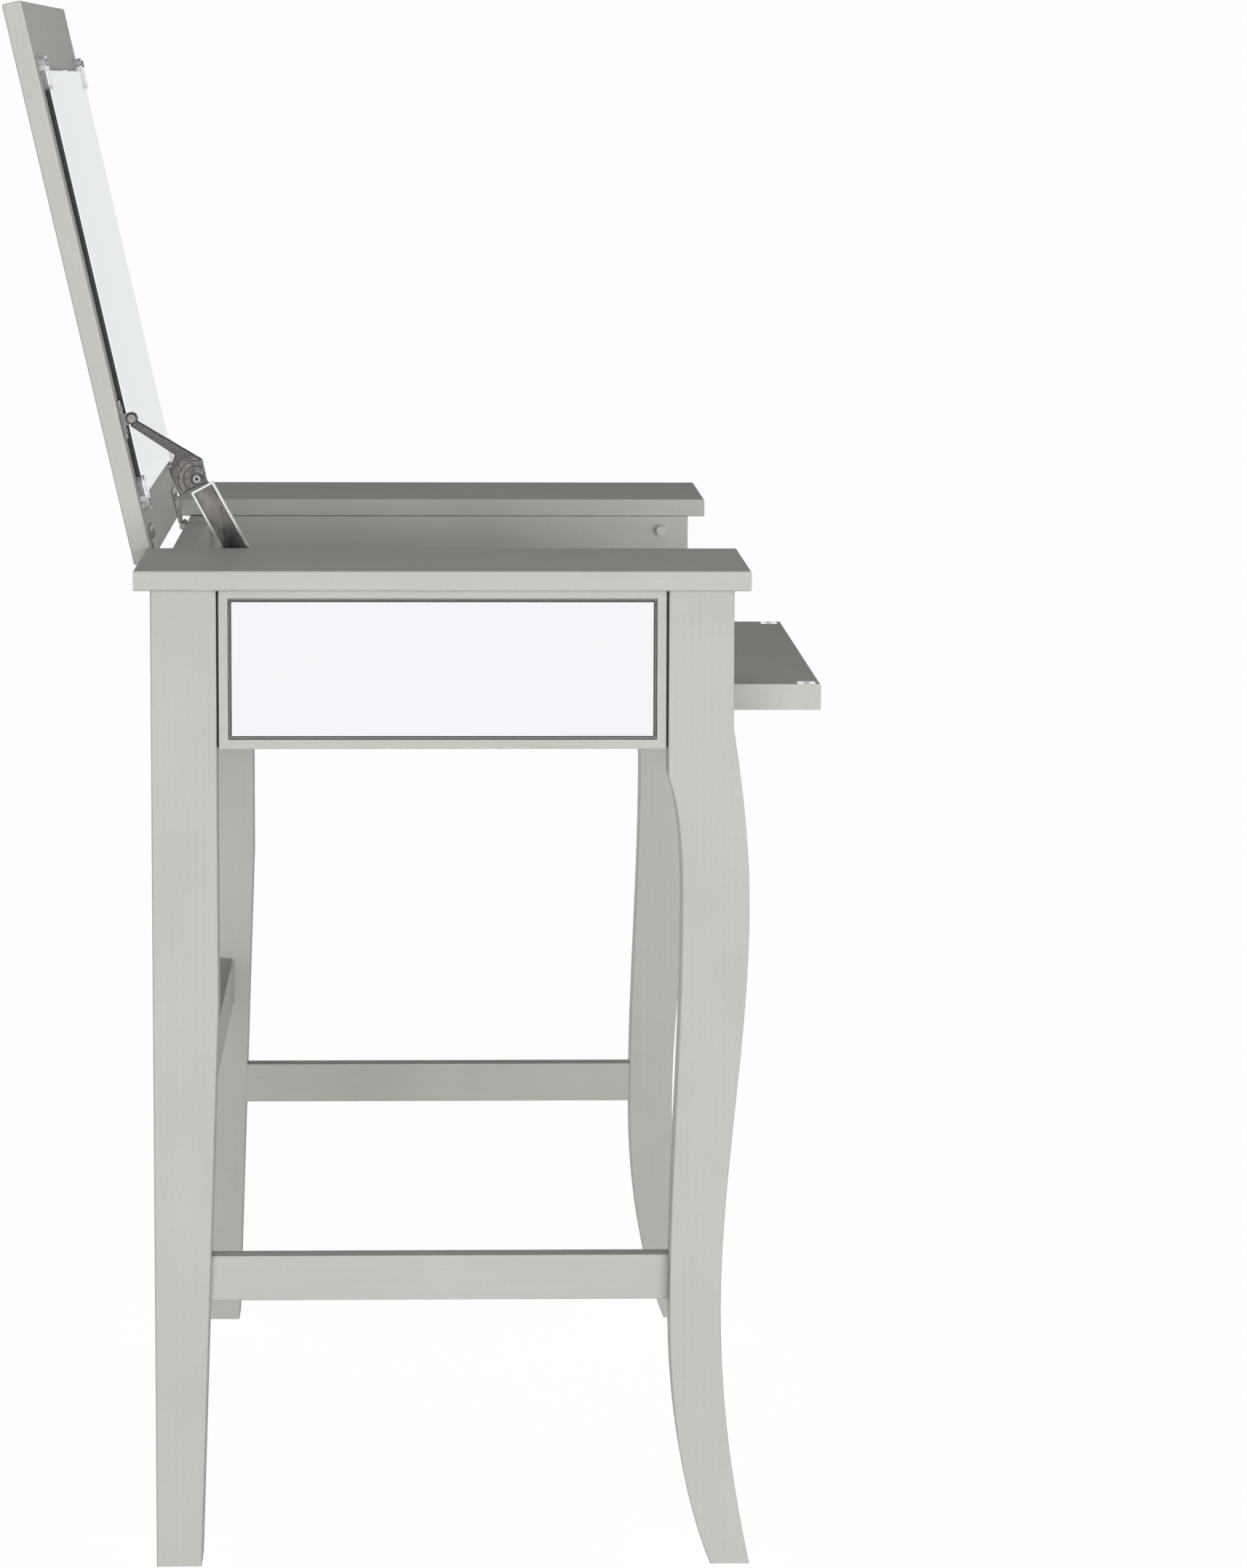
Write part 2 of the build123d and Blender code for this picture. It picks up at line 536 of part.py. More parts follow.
with BuildPart() as lid_panel:
    lid_spans = (-LID_HALF_WIDTH, LID_HALF_WIDTH), (-LID_FRONT, -LID_REAR)
    block(LID_PLANE, *lid_spans, (LID_UNDERSIDE, LID_UNDERSIDE + TOP_THICKNESS))
    fillet(lid_panel.edges(), TOP_EDGE_RADIUS)
    screw_holes(LID_PLANE, lid_screw_spots, LID_UNDERSIDE, SCREW_DEPTH)
    screw_holes(LID_PLANE, clip_screw_spots, LID_UNDERSIDE, SCREW_DEPTH)
    screw_holes(LID_PLANE, bracket_screw_spots, LID_UNDERSIDE, SCREW_DEPTH)
save(lid_panel, "lid_panel")

with BuildPart() as lid_mirror:
    pane_spans = (-LID_MIRROR_X, LID_MIRROR_X), (-LID_MIRROR_FRONT, -LID_MIRROR_BACK)
    block(LID_PLANE, *pane_spans, (LID_MIRROR_FACE, LID_UNDERSIDE))
    pane_front = lid_mirror.faces().sort_by(Axis((0, 0, 0), LID_PLANE.z_dir))[0]
    chamfer(pane_front.edges(), length=LID_MIRROR_BEVEL)
save(lid_mirror, "lid_mirror")

with BuildPart() as mirror_clips:
    for sx, u, away in clip_corners:
        clip_x = sorted((sx * (LID_MIRROR_X - CLIP_REACH_X), sx * (LID_MIRROR_X + CLIP_BORDER_X)))
        clip_y = sorted((-(u - away * CLIP_REACH_U), -(u + away * CLIP_BORDER_U)))
        block(LID_PLANE, clip_x, clip_y, (clip_face, LID_UNDERSIDE))
    corner_edges = mirror_clips.edges().filter_by(Axis((0, 0, 0), LID_PLANE.z_dir))
    fillet(corner_edges, CLIP_CORNER_RADIUS)
    block(LID_PLANE, *pane_spans, (LID_MIRROR_FACE, LID_UNDERSIDE), Mode.SUBTRACT)
    screw_holes(LID_PLANE, clip_screw_spots, clip_face, CLIP_LIP + LID_MIRROR_THICKNESS)
save(mirror_clips, "mirror_clips")

with BuildPart() as mirror_clip_screws:
    screws(LID_PLANE, clip_screw_spots, clip_face, CLIP_LIP + LID_MIRROR_THICKNESS + SCREW_DEPTH)
save(mirror_clip_screws, "mirror_clip_screws")

lid_side_plane = Plane(origin=LID_PLANE.origin, x_dir=LID_PLANE.y_dir, z_dir=(1, 0, 0))
with BuildPart() as lid_hinge_lid_leaves:
    for centre in hinge_centres:
        leaf_x = (centre - HINGE_LENGTH / 2, centre + HINGE_LENGTH / 2)
        block(LID_PLANE, leaf_x, (-LID_LEAF_END, -LID_LEAF_START), (lid_leaf_face, LID_UNDERSIDE))
        for index in range(1, HINGE_KNUCKLES, 2):
            span = knuckle_span(centre, index)
            block(LID_PLANE, span, (-LID_LEAF_START, 0), (lid_leaf_face, LID_UNDERSIDE))
            rod(lid_side_plane, [(0, 0)], KNUCKLE_RADIUS, span)
            rod(lid_side_plane, [(0, 0)], HINGE_PIN_RADIUS + PIN_CLEARANCE, span, Mode.SUBTRACT)
    screw_holes(LID_PLANE, lid_screw_spots, lid_leaf_face, LEAF_THICKNESS)
save(lid_hinge_lid_leaves, "lid_hinge_lid_leaves")

with BuildPart() as lid_hinge_lid_screws:
    screws(LID_PLANE, lid_screw_spots, lid_leaf_face, LEAF_THICKNESS + SCREW_DEPTH)
save(lid_hinge_lid_screws, "lid_hinge_lid_screws")

# ---- lid stay ----
wall_pivot = (STAY_WALL_Y, STAY_WALL_Z)
lid_pivot = (STAY_LID_Y, STAY_LID_Z)
lug_spot = (-STAY_LID_U, STAY_LID_W)
lug_outer_x = ARM_INNER_X - LUG_TO_ARM
web_x = stay_side((CHANNEL_INNER_X, CHANNEL_INNER_X + CHANNEL_WALL))
channel_x = stay_side((CHANNEL_INNER_X, CHANNEL_OUTER_X))
arm_x = stay_side((ARM_INNER_X, ARM_OUTER_X))

with BuildPart() as stay_wall_bracket:
    plate_inner_x = OPENING_X - BRACKET_PLATE
    plate_y = (STAY_WALL_Y - WALL_PLATE_HALF_WIDTH, STAY_WALL_Y + WALL_PLATE_HALF_WIDTH)
    plate_z = (STAY_WALL_Z - WALL_PLATE_BELOW, STAY_WALL_Z + WALL_PLATE_ABOVE)
    block(Plane.YZ, plate_y, plate_z, stay_side((plate_inner_x, OPENING_X)))
    fillet(stay_wall_bracket.edges().filter_by(Axis.X), WALL_PLATE_CORNER_RADIUS)
    boss_end = CHANNEL_INNER_X + CHANNEL_WALL + WALL_BOSS_TO_ARM
    head_start = CHANNEL_INNER_X - PIN_HEAD_GAP
    head_end = head_start - PIN_HEAD_HEIGHT
    rod(Plane.YZ, [wall_pivot], WALL_BOSS_RADIUS, stay_side((boss_end, plate_inner_x)))
    rod(Plane.YZ, [wall_pivot], STAY_PIN_RADIUS, stay_side((head_end, plate_inner_x)))
    rod(Plane.YZ, [wall_pivot], STAY_HEAD_RADIUS, stay_side((head_end, head_start)))
save(stay_wall_bracket, "stay_wall_bracket")

with BuildPart() as stay_lid_bracket:
    base_x = stay_side((BRACKET_INNER_X, lug_outer_x))
    base_y = (-STAY_LID_U - BRACKET_HALF_LENGTH, -STAY_LID_U + BRACKET_HALF_LENGTH)
    block(LID_PLANE, base_x, base_y, (bracket_seat, LID_UNDERSIDE))
    lug_x = stay_side((lug_outer_x - LUG_THICKNESS, lug_outer_x))
    lug_width = (lug_spot[0] - LUG_RADIUS, lug_spot[0] + LUG_RADIUS)
    lug_height = (lug_spot[1], LID_UNDERSIDE - LUG_INTO_PLATE)
    block(lid_side_plane, lug_width, lug_height, lug_x)
    rod(lid_side_plane, [lug_spot], LUG_RADIUS, lug_x)
    screw_holes(LID_PLANE, bracket_screw_spots, bracket_seat, BRACKET_PLATE)
save(stay_lid_bracket, "stay_lid_bracket")

with BuildPart() as stay_lid_bracket_screws:
    screws(LID_PLANE, bracket_screw_spots, bracket_seat, BRACKET_PLATE + SCREW_DEPTH)
save(stay_lid_bracket_screws, "stay_lid_bracket_screws")

with BuildPart() as stay_lid_pin:
    head_start = ARM_OUTER_X + PIN_HEAD_GAP
    head_end = head_start + PIN_HEAD_HEIGHT
    rod(lid_side_plane, [lug_spot], STAY_PIN_RADIUS, stay_side((lug_outer_x, head_start)))
    rod(lid_side_plane, [lug_spot], LID_PIN_HEAD_RADIUS, stay_side((head_start, head_end)))
save(stay_lid_pin, "stay_lid_pin")

# the lower arm is a channel that is open toward the partition, with a tongue past its end wall
with BuildPart() as stay_lower_arm:
    channel_end = CHANNEL_LENGTH - CHANNEL_END_BEFORE_ELBOW
    channel_run = (-CHANNEL_TAIL, channel_end)
    half_channel = CHANNEL_WIDTH / 2
    block(CHANNEL_PLANE, channel_run, (-half_channel, half_channel), web_x)
    for edge in (-1, 1):
        flange = sorted((edge * half_channel, edge * (half_channel - CHANNEL_WALL)))
        block(CHANNEL_PLANE, channel_run, flange, channel_x)
    end_wall = (channel_end - CHANNEL_WALL, channel_end)
    block(CHANNEL_PLANE, end_wall, (-half_channel, half_channel), channel_x)
    tongue_run = (channel_end - CHANNEL_WALL, CHANNEL_LENGTH)
    block(CHANNEL_PLANE, tongue_run, (-TONGUE_WIDTH / 2, TONGUE_WIDTH / 2), web_x)
    rod(CHANNEL_PLANE, [(CHANNEL_LENGTH, 0)], TONGUE_WIDTH / 2, web_x)
    rod(CHANNEL_PLANE, [(0, 0)], STAY_PIN_RADIUS + PIN_CLEARANCE, web_x, Mode.SUBTRACT)
save(stay_lower_arm, "stay_lower_arm")

# the upper arm is one casting: an eye at the lid, a bar, and a wide body at the elbow
with BuildPart() as stay_upper_arm:
    lid_end = [(STAY_LID_Y + y, STAY_LID_Z + z) for y, z in ARM_OUTLINE_LID]
    elbow_end = [(ELBOW_Y + y, ELBOW_Z + z) for y, z in ARM_OUTLINE_ELBOW]
    with BuildSketch(Plane.YZ.offset(arm_x[0])):
        with BuildLine():
            Polyline(*lid_end, *elbow_end, close=True)
        make_face()
        with Locations(lid_pivot):
            Circle(ARM_EYE_RADIUS)
    extrude(amount=ARM_OUTER_X - ARM_INNER_X)
    body_corners = [
        edge
        for edge in stay_upper_arm.edges().filter_by(Axis.X)
        if (edge.center() - Vector(edge.center().X, ELBOW_Y, ELBOW_Z)).length < ARM_BODY_REACH
    ]
    fillet(body_corners, ARM_CORNER_RADIUS)
    outer_face = stay_upper_arm.faces().filter_by(Axis.X).sort_by(Axis.X)[0]
    chamfer(outer_face.outer_wire().edges(), length=ARM_EDGE_CHAMFER)
    # cast rings round the elbow stand proud of the outer face, and stop short of its edges
    for outer_radius, inner_radius in ARM_RELIEF_RINGS:
        with BuildSketch(Plane.YZ.offset(arm_x[0])) as ring:
            with BuildLine():
                Polyline(*lid_end, *elbow_end, close=True)
            make_face()
            offset(amount=-ARM_RELIEF_INSET)
            with Locations((ELBOW_Y, ELBOW_Z)):
                Circle(outer_radius, mode=Mode.INTERSECT)
                Circle(inner_radius, mode=Mode.SUBTRACT)
        extrude(ring.sketch, amount=STAY_SIGN * ARM_RELIEF_HEIGHT)
    rod(Plane.YZ, [lid_pivot], STAY_PIN_RADIUS + PIN_CLEARANCE, arm_x, Mode.SUBTRACT)
    rod(Plane.YZ, [(ELBOW_Y, ELBOW_Z)], ELBOW_PIN_RADIUS, arm_x, Mode.SUBTRACT)
save(stay_upper_arm, "stay_upper_arm")

with BuildPart() as stay_elbow_pin:
    head_x = stay_side((ARM_OUTER_X, ARM_OUTER_X + ELBOW_HEAD_HEIGHT))
    rod(Plane.YZ, [(ELBOW_Y, ELBOW_Z)], ELBOW_PIN_RADIUS, arm_x)
    rod(Plane.YZ, [(ELBOW_Y, ELBOW_Z)], ELBOW_HEAD_RADIUS, head_x)
    dimple_start = ARM_OUTER_X + ELBOW_HEAD_HEIGHT - ELBOW_DIMPLE_DEPTH
    dimple_x = stay_side((dimple_start, ARM_OUTER_X + ELBOW_HEAD_HEIGHT))
    rod(Plane.YZ, [(ELBOW_Y, ELBOW_Z)], ELBOW_DIMPLE_RADIUS, dimple_x, Mode.SUBTRACT)
save(stay_elbow_pin, "stay_elbow_pin")

# ---- drop front ----
drop_x = (-LID_HALF_WIDTH, LID_HALF_WIDTH)
drop_pocket_x = LID_HALF_WIDTH - FRAME_STRIP
drop_pane_x = drop_pocket_x - MIRROR_GAP
drop_pocket_y = (DROP_END_Y + FRAME_STRIP, DROP_AXIS_Y - DROP_POCKET_FROM_AXIS)
drop_pane_y = (drop_pocket_y[0] + MIRROR_GAP, drop_pocket_y[1] - MIRROR_GAP)
strike_y = (DROP_END_Y + STRIKE_FROM_EDGE, DROP_END_Y + STRIKE_FROM_EDGE + STRIKE_LENGTH)
strike_outer_x = LID_HALF_WIDTH - STRIKE_FROM_SIDE
strike_inner_x = strike_outer_x - STRIKE_WIDTH
strike_blocks = [sorted((sign * strike_inner_x, sign * strike_outer_x)) for side, sign in SIDES]
strike_z = (DROP_TOP - STRIKE_THICKNESS, DROP_TOP)
strike_seat = DROP_TOP - SCREW_HEAD_HEIGHT
strike_screw_spots = [(sx * x, sum(strike_y) / 2) for sx in (-1, 1) for x in STRIKE_SCREWS_X]

with BuildPart() as drop_front_panel:
    block(Plane.XY, drop_x, (DROP_END_Y, DROP_AXIS_Y), (DROP_BOTTOM, DROP_TOP))
    fillet(drop_front_panel.edges().filter_by(Axis.X).group_by(Axis.Y)[0], TOP_EDGE_RADIUS)
    # the pivoted edge is round about the hinge axis, so it clears the rail as it turns
    rod(Plane.YZ, [(DROP_AXIS_Y, DROP_AXIS_Z)], DROP_OUTER_FACE, drop_x)
    round_y = (DROP_AXIS_Y - DROP_OUTER_FACE, DROP_AXIS_Y + DROP_OUTER_FACE)
    block(Plane.XY, drop_x, round_y, (DROP_TOP, DROP_AXIS_Z + DROP_OUTER_FACE), Mode.SUBTRACT)
    pocket_z = (DROP_BOTTOM, DROP_BOTTOM + POCKET_DEPTH)
    block(Plane.XY, (-drop_pocket_x, drop_pocket_x), drop_pocket_y, pocket_z, Mode.SUBTRACT)
    for side, sign in SIDES:
        hole_x = (sign * (OPENING_X - DROP_PIN_DEPTH - DROP_PIN_END_GAP), sign * LID_HALF_WIDTH)
        hole_radius = DROP_PIN_RADIUS + PIN_CLEARANCE
        rod(Plane.YZ, [(DROP_AXIS_Y, DROP_AXIS_Z)], hole_radius, hole_x, Mode.SUBTRACT)
    for strike_x in strike_blocks:
        block(Plane.XY, strike_x, strike_y, strike_z, Mode.SUBTRACT)
    screw_holes(Plane.XY, strike_screw_spots, strike_seat, -SCREW_DEPTH)
save(drop_front_panel, "drop_front_panel")

with BuildPart() as drop_front_mirror:
    pane_z = (DROP_BOTTOM + MIRROR_SETBACK, DROP_BOTTOM + POCKET_DEPTH)
    block(Plane.XY, (-drop_pane_x, drop_pane_x), drop_pane_y, pane_z)
    bevel_front(drop_front_mirror, -Axis.Z, MIRROR_BEVEL)
save(drop_front_mirror, "drop_front_mirror")

with BuildPart() as strike_plates:
    for strike_x in strike_blocks:
        block(Plane.XY, strike_x, strike_y, strike_z)
    screw_holes(Plane.XY, strike_screw_spots, DROP_TOP, -STRIKE_THICKNESS)
    rod(Plane.XY, strike_screw_spots, SCREW_HEAD_RADIUS, (strike_seat, DROP_TOP), Mode.SUBTRACT)
save(strike_plates, "strike_plates")

with BuildPart() as strike_screws:
    screws(Plane.XY, strike_screw_spots, strike_seat, -SCREW_DEPTH)
save(strike_screws, "strike_screws")
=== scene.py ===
"""Looks of the vanity table with a mirrored lid: its materials, the studio, the lights and the camera.

Lengths are in metres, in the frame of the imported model: +Z up, the user sits at the -Y side.
Every visible piece is a node of the CAD model, and gets a procedural material here.
"""

import math

import bmesh
import bpy
from mathutils import Matrix, Vector


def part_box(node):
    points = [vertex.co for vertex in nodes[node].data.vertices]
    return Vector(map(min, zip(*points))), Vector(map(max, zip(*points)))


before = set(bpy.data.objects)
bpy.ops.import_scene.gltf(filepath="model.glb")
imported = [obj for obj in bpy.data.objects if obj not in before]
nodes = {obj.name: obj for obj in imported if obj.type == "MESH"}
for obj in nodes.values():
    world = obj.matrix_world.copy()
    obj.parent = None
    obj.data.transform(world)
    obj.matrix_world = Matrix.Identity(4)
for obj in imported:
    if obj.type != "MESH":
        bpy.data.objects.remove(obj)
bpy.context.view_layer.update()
scene = bpy.context.scene

# ---- colours, linear ----
PAINT = (0.62, 0.625, 0.585)
PAINT_DARK = (0.55, 0.555, 0.515)
# Edge colour: partly rubbed paint, partly a painted highlight.
PAINT_WORN_AND_HIGHLIT = (0.74, 0.74, 0.70)
# Painted shade for narrow gaps, inner corners and grooves.
GAP_SHADE = (0.05, 0.05, 0.047)
SILVERING = (0.92, 0.935, 0.96)
GRAZING_TINT = (0.80, 0.83, 0.82, 1.0)
GLASS_EDGE = (0.003, 0.007, 0.005)
GLASS_EDGE_LIGHT = (0.022, 0.036, 0.030)
STEEL = (0.50, 0.49, 0.47)
STEEL_BRIGHT = (0.72, 0.71, 0.69)
NICKEL = (0.90, 0.895, 0.88)
NICKEL_DULL = (0.78, 0.775, 0.76)
CASTING = (0.11, 0.11, 0.11)
CASTING_LIGHT = (0.33, 0.325, 0.32)
CASTING_BROWN = (0.42, 0.375, 0.34)
PINE = (0.62, 0.44, 0.27)
PINE_DARK = (0.40, 0.25, 0.13)
PEG_PLASTIC = (0.74, 0.73, 0.69)
PEG_PLASTIC_DARK = (0.62, 0.61, 0.57)
CLEAR_PLASTIC = (0.93, 0.94, 0.94)
CLEAR_PLASTIC_SCUFFED = (0.80, 0.81, 0.81)
DUST = (0.75, 0.75, 0.74)
ZINC_DARK = (0.33, 0.32, 0.305)
SCREW_DARK = (0.36, 0.35, 0.33)
SCREW_LIGHT = (0.58, 0.57, 0.55)
CHANNEL_DARK = (0.075, 0.07, 0.066)
# Light patches on the channel: partly stains, partly a painted sheen.
CHANNEL_STAIN_AND_SHEEN = (0.42, 0.40, 0.385)
WHITE = (1, 1, 1, 1)
FLOOR_TINT = (0.5, 0.5, 0.5)
BACKDROP_TINT = (0.02, 0.02, 0.02)

# ---- sizes of the detail; a pair is its length along the grain and its width across it ----
PAINT_GRAIN = (0.18, 0.0032)
PAINT_MOTTLE = 0.11
PAINT_FLAKE = 0.0008
PAINT_RUB_AND_HIGHLIGHT_EDGE = 0.0013
PAINT_EDGE_PATCH = 0.02
PAINT_CREVICE = 0.007
MIRROR_SMEAR = (0.12, 0.05)
MIRROR_DUST = 0.0016
EDGE_GRIND = 0.0012
STEEL_STREAK = 0.03
STEEL_WEAR = 0.0005
PLASTIC_SCUFF = 0.0012
PLASTIC_FLOW = 0.005
CASTING_PIT = 0.0011
CASTING_LUMP = 0.004
CASTING_BLOTCH = 0.0045
CASTING_WEAR_AND_HIGHLIGHT = 0.0011
CASTING_CREVICE = 0.003
PINE_RING = (0.14, 0.006)
PINE_FIBRE = (0.02, 0.0008)
PEG_SKIN = 0.0006
PEG_TINT = 0.006
WOOD_ROUND = 0.0006
WELD_DISTANCE = 0.00002
SHARP_ANGLE = math.radians(40)
ELBOW_BOSS_REACH = 0.0187
PAPER_FIBRE = 0.02
PAPER_SHADE = 0.985
RIVET_DIMPLE_RADIUS = 0.0014
RIVET_DIMPLE_START = 0.0003
CHANNEL_RIM_DEPTH = 0.001

# ---- camera ----
CAMERA_PLACE = (-4.5265, -0.0103, 1.1230)
CAMERA_YAW = math.radians(-2.039)
CAMERA_PITCH = math.radians(7.285)
CAMERA_ROLL = math.radians(0.207)
CAMERA_LENS = 126.06
CAMERA_SENSOR = 36.0
CAMERA_SEES_TO = 200

# ---- studio ----
STAGE_TURNS = 64
STAGE_RINGS = 12
STAGE_REACH = 60.0
BAND_REACH = 20.0
BAND_HEIGHT = 4.0
BAND_FRONT_HEIGHT = 14.0
BAND_FRONT_FALL = 6
FLOOR_GLOW = 0.905
DOME_GLOW = 0.98
BAND_GLOW = 0.96
SKY_HORIZON = 0.38
SKY_ZENITH = 0.14
SKY_FADE = (0.1, 0.45)
TABLE_MIDDLE = (0, 0, 0.6)
TOP_MIDDLE = (-0.2, -0.1, 0.76)


class Shader:
    """One node material, with short calls for the nodes that it is made of."""

    def __init__(self, name):
        self.material = bpy.data.materials.new(name)
        self.material.use_nodes = True
        self.tree = self.material.node_tree
        self.surface = self.tree.nodes["Principled BSDF"]
        self.place = self.tree.nodes.new("ShaderNodeTexCoord").outputs["Object"]

    def node(self, kind, values=(), **settings):
        made = self.tree.nodes.new(kind)
        for name, value in settings.items():
            setattr(made, name, value)
        for name, value in dict(values).items():
            self.put(made.inputs[name], value)
        return made

    def put(self, socket, value):
        if isinstance(value, bpy.types.NodeSocket):
            self.tree.links.new(value, socket)
        elif hasattr(value, "__len__") and len(value) == 3 and socket.type == "RGBA":
            socket.default_value = (*value, 1)
        else:
            socket.default_value = value

    def stretch(self, scale):
        return self.node("ShaderNodeMapping", {"Vector": self.place, "Scale": scale}).outputs["Vector"]

    def noise(self, size, detail=4, roughness=0.55, vector=None):
        """Noise from 0 to 1, with features of about the size given."""
        place = vector or self.place
        values = {"Vector": place, "Scale": 1 / size, "Detail": detail, "Roughness": roughness}
        return self.node("ShaderNodeTexNoise", values).outputs["Fac"]

    def span(self, value, low, high, to_low=0.0, to_high=1.0):
        values = {"Value": value, "From Min": low, "From Max": high, "To Min": to_low, "To Max": to_high}
        return self.node("ShaderNodeMapRange", values).outputs["Result"]

    def math(self, operation, a, b=0.0):
        made = self.node("ShaderNodeMath", operation=operation)
        self.put(made.inputs[0], a)
        self.put(made.inputs[1], b)
        return made.outputs["Value"]

    def times(self, a, b):
        return self.math("MULTIPLY", a, b)

    def plus(self, a, b):
        return self.math("ADD", a, b)

    def weigh(self, first, *others):
        """The sum of (value, share) pairs, each value times its share."""
        total = self.times(*first)
        for pair in others:
            total = self.plus(total, self.times(*pair))
        return total

    def mix(self, share, a, b):
        made = self.node("ShaderNodeMix", data_type="RGBA")
        self.put(made.inputs["Factor"], share)
        self.put(made.inputs[6], a)
        self.put(made.inputs[7], b)
        return made.outputs[2]

    def edges(self, radius, low, high):
        """1 along the corners of the shape, and 0 on its faces."""
        rounded = self.node("ShaderNodeBevel", {"Radius": radius}, samples=4).outputs["Normal"]
        flat = self.node("ShaderNodeNewGeometry").outputs["Normal"]
        dot = self.node("ShaderNodeVectorMath", operation="DOT_PRODUCT")
        self.put(dot.inputs[0], rounded)
        self.put(dot.inputs[1], flat)
        return self.span(dot.outputs["Value"], low, high, 1.0, 0.0)

    def crevice_shade(self, reach, shut=0.15, open=0.62):
        """1 in narrow gaps and inner corners, and 0 on open faces: a mask for painted shade."""
        shade = self.node("ShaderNodeAmbientOcclusion", {"Distance": reach}, samples=6).outputs["AO"]
        return self.span(shade, shut, open, 1.0, 0.0)

    def bump(self, height, distance, strength=1.0, before=None):
        values = {"Height": height, "Distance": distance, "Strength": strength}
        if before is not None:
            values["Normal"] = before
        return self.node("ShaderNodeBump", values).outputs["Normal"]

    def finish(self, colour, roughness, normal, metallic=0.0, **constants):
        self.put(self.surface.inputs["Base Color"], colour)
        self.put(self.surface.inputs["Roughness"], roughness)
        self.put(self.surface.inputs["Normal"], normal)
        self.surface.inputs["Metallic"].default_value = metallic
        for name, value in constants.items():
            self.put(self.surface.inputs[name], value)
        return self.material


AXES = {"x": 0, "y": 1, "z": 2}


def along(axis, long, across):
    """Scales that draw a texture out along one axis."""
    scale = [1 / across] * 3
    scale[AXES[axis]] = 1 / long
    return scale


def silver_paint(axis):
    """Satin paint over wood: flakes, faint grain along one axis, edges lighter from rubbing and a painted
    highlight, gaps darkened with painted shade.
    """
    shader = Shader(f"silver_paint_{axis}")
    grain = shader.noise(1.0, 5, 0.6, shader.stretch(along(axis, *PAINT_GRAIN)))
    mottle = shader.noise(PAINT_MOTTLE, 3)
    flakes = shader.noise(PAINT_FLAKE, 1)
    patches = shader.span(shader.noise(PAINT_EDGE_PATCH), 0.3, 0.6)
    # Edges lighter in patches: partly rubbed paint and partly a painted highlight.
    rubbed_and_highlit = shader.times(shader.edges(PAINT_RUB_AND_HIGHLIGHT_EDGE, 0.90, 0.995), patches)
    tone = shader.weigh((grain, 0.2), (mottle, 0.45), (flakes, 0.35))
    colour = shader.mix(shader.span(tone, 0.38, 0.66), PAINT_DARK, PAINT)
    colour = shader.mix(shader.times(rubbed_and_highlit, 0.75), colour, PAINT_WORN_AND_HIGHLIT)
    # Painted shade: narrow gaps and inner corners darkened towards the shade colour.
    colour = shader.mix(shader.times(shader.crevice_shade(PAINT_CREVICE), 0.85), colour, GAP_SHADE)
    roughness = shader.plus(shader.span(mottle, 0.3, 0.7, 0.52, 0.62), shader.times(rubbed_and_highlit, -0.1))
    normal = shader.bump(grain, 0.00010, 0.22)
    normal = shader.bump(flakes, 0.00004, 0.5, normal)
    return shader.finish(colour, roughness, normal, metallic=0.05, **{"Specular IOR Level": 0.06})


def mirror_silver():
    """The silvered face of a mirror, with the faintest smears and dust."""
    shader = Shader("mirror_silver")
    smears = shader.noise(1.0, 3, 0.5, shader.stretch(along("x", *MIRROR_SMEAR)))
    dust = shader.span(shader.noise(MIRROR_DUST, 2), 0.72, 0.80)
    roughness = shader.plus(shader.span(smears, 0.4, 0.75, 0.008, 0.035), shader.times(dust, 0.06))
    colour = shader.mix(shader.times(dust, 0.10), SILVERING, DUST)
    normal = shader.bump(smears, 0.00001, 0.02)
    return shader.finish(colour, roughness, normal, metallic=1.0, **{"Specular Tint": GRAZING_TINT})


def glass_edge():
    """The ground edge of mirror glass, dark green where it is cut."""
    shader = Shader("glass_edge")
    grind = shader.noise(EDGE_GRIND, 4)
    colour = shader.mix(shader.span(grind, 0.35, 0.7), GLASS_EDGE, GLASS_EDGE_LIGHT)
    roughness = shader.span(grind, 0.3, 0.7, 0.12, 0.30)
    return shader.finish(colour, roughness, shader.bump(grind, 0.00005, 0.3), **{"Coat Weight": 0.4})


def steel(name, dark, worn_and_highlit_corners, roughness, axis="z", streak=0.0007, mottle_size=0.006):
    """Plated steel: drawn streaks along one axis, mottling of the size given, and bright corners."""
    shader = Shader(name)
    streaks = shader.noise(1.0, 4, 0.6, shader.stretch(along(axis, STEEL_STREAK, streak)))
    steel_mottle = shader.noise(mottle_size, 4)
    corner = shader.edges(STEEL_WEAR, 0.80, 0.99)
    tone = shader.weigh((streaks, 0.3), (steel_mottle, 0.7))
    colour = shader.mix(shader.span(tone, 0.36, 0.64), dark, worn_and_highlit_corners)
    colour = shader.mix(shader.times(corner, 0.6), colour, NICKEL)
    rough = shader.span(steel_mottle, 0.3, 0.7, roughness, roughness + 0.14)
    return shader.finish(colour, rough, shader.bump(streaks, 0.00005, 0.3), metallic=1.0)


def clear_plastic():
    """Clear moulded plastic, a little scuffed."""
    shader = Shader("clear_plastic")
    scuffs = shader.noise(PLASTIC_SCUFF, 4)
    flow = shader.noise(PLASTIC_FLOW, 2)
    colour = shader.mix(shader.span(scuffs, 0.4, 0.7), CLEAR_PLASTIC, CLEAR_PLASTIC_SCUFFED)
    normal = shader.bump(flow, 0.0006, 0.5)
    rough = shader.span(scuffs, 0.35, 0.75, 0.04, 0.16)
    return shader.finish(colour, rough, normal, **{"Transmission Weight": 0.75, "IOR": 1.49})


